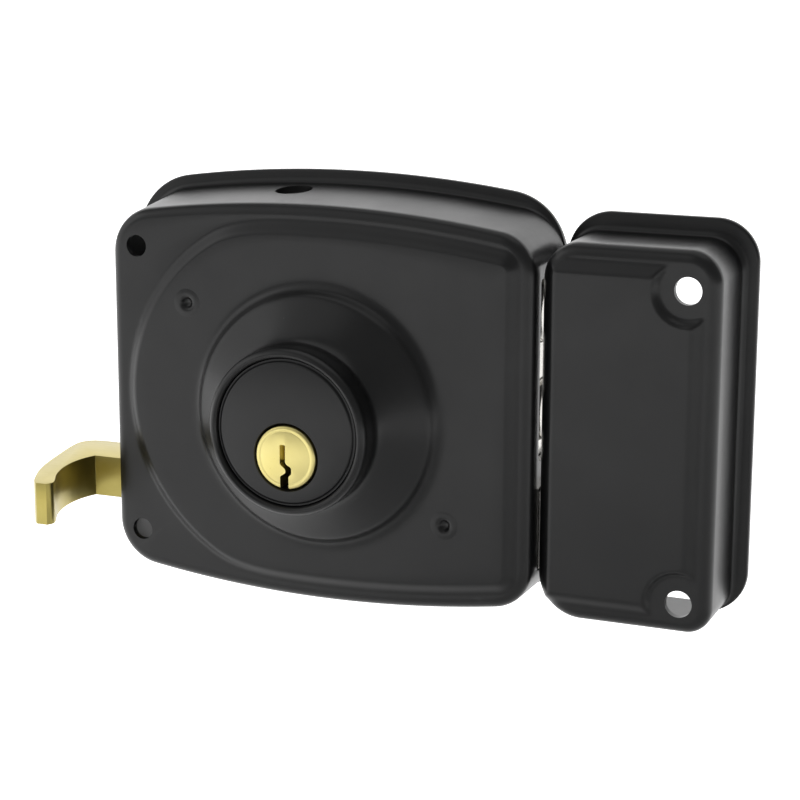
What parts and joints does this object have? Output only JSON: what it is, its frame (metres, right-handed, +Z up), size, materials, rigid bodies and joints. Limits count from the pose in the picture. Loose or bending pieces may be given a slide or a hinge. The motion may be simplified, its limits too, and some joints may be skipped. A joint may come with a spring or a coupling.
{
  "type": "rim night latch",
  "caption": "Surface-mounted door lock with a sprung latch and finger pull, deadbolt pins thrown by a keyed cylinder, and its box keeper.",
  "frame": {"origin": "on the lock's back face, where it lies on the door, midway between the two case screw holes", "axes": "+X towards the keeper, +Y into the door, +Z up"},
  "size_m": [0.1491, 0.0386, 0.0872],
  "materials": {
    "black_paint": "satin black stove enamel",
    "brass": "polished brass",
    "nickel": "nickel plate",
    "steel": "zinc-plated steel",
    "spring_steel": "spring steel"
  },
  "bodies": {
    "case": {"case_cover": "black_paint", "back_plate": "steel", "cover_screw_upper": "steel", "cover_screw_lower": "steel", "cylinder_body": "black_paint", "chamber_cover": "brass", "cylinder_yoke": "steel", "yoke_stud_upper": "black_paint", "yoke_stud_lower": "black_paint", "yoke_screw_upper": "steel", "yoke_screw_lower": "steel", "carriage_post_upper": "steel", "carriage_post_lower": "steel", "bolt_guide": "nickel", "bolt_guide_rivet_upper": "steel", "bolt_guide_rivet_lower": "steel", "detent_post": "steel", "detent_spring": "spring_steel", "latch_spring": "spring_steel", "spring_bracket": "steel", "bracket_rivet": "steel", "driver_pin_1": "brass", "tumbler_spring_1": "spring_steel", "driver_pin_2": "brass", "tumbler_spring_2": "spring_steel", "driver_pin_3": "brass", "tumbler_spring_3": "spring_steel", "driver_pin_4": "brass", "tumbler_spring_4": "spring_steel", "driver_pin_5": "brass", "tumbler_spring_5": "spring_steel"},
    "plug": {"cylinder_plug": "brass", "tail_cam": "steel", "cam_screw_left": "steel", "cam_screw_right": "steel", "key_pin_1": "brass", "key_pin_2": "brass", "key_pin_3": "brass", "key_pin_4": "brass", "key_pin_5": "brass"},
    "deadbolt": {"bolt_carriage": "steel", "deadbolt_pin_upper": "nickel", "deadbolt_pin_lower": "nickel"},
    "latch": {"latch_bolt": "nickel", "latch_bar": "steel", "latch_rivet": "steel", "pull_hook": "brass", "pull_rivet": "brass"},
    "keeper": {"keeper_box": "black_paint"}
  },
  "joints": [
    {"name": "plug_turn", "type": "hinge", "parent": "case", "child": "plug", "pos_m": [0.041, -0.0381, -0.0065], "axis": [0, 1, 0], "range_deg": [0, 90]},
    {"name": "deadbolt_throw", "type": "slide", "parent": "case", "child": "deadbolt", "axis": [1, 0, 0], "range_m": [0, 0.016]},
    {"name": "latch_pull", "type": "slide", "parent": "case", "child": "latch", "axis": [-1, 0, 0], "range_m": [0, 0.012], "stiffness_N_per_m": 300, "springref_m": -0.01, "deforming": ["latch_spring"]},
    {"name": "keeper_part", "type": "slide", "parent": "case", "child": "keeper", "axis": [1, 0, 0], "range_m": [0, 0.02]}
  ],
  "couplings": [
    {"joint": "plug_turn", "follows": "deadbolt_throw", "rad_per_m": 98.17}
  ]
}
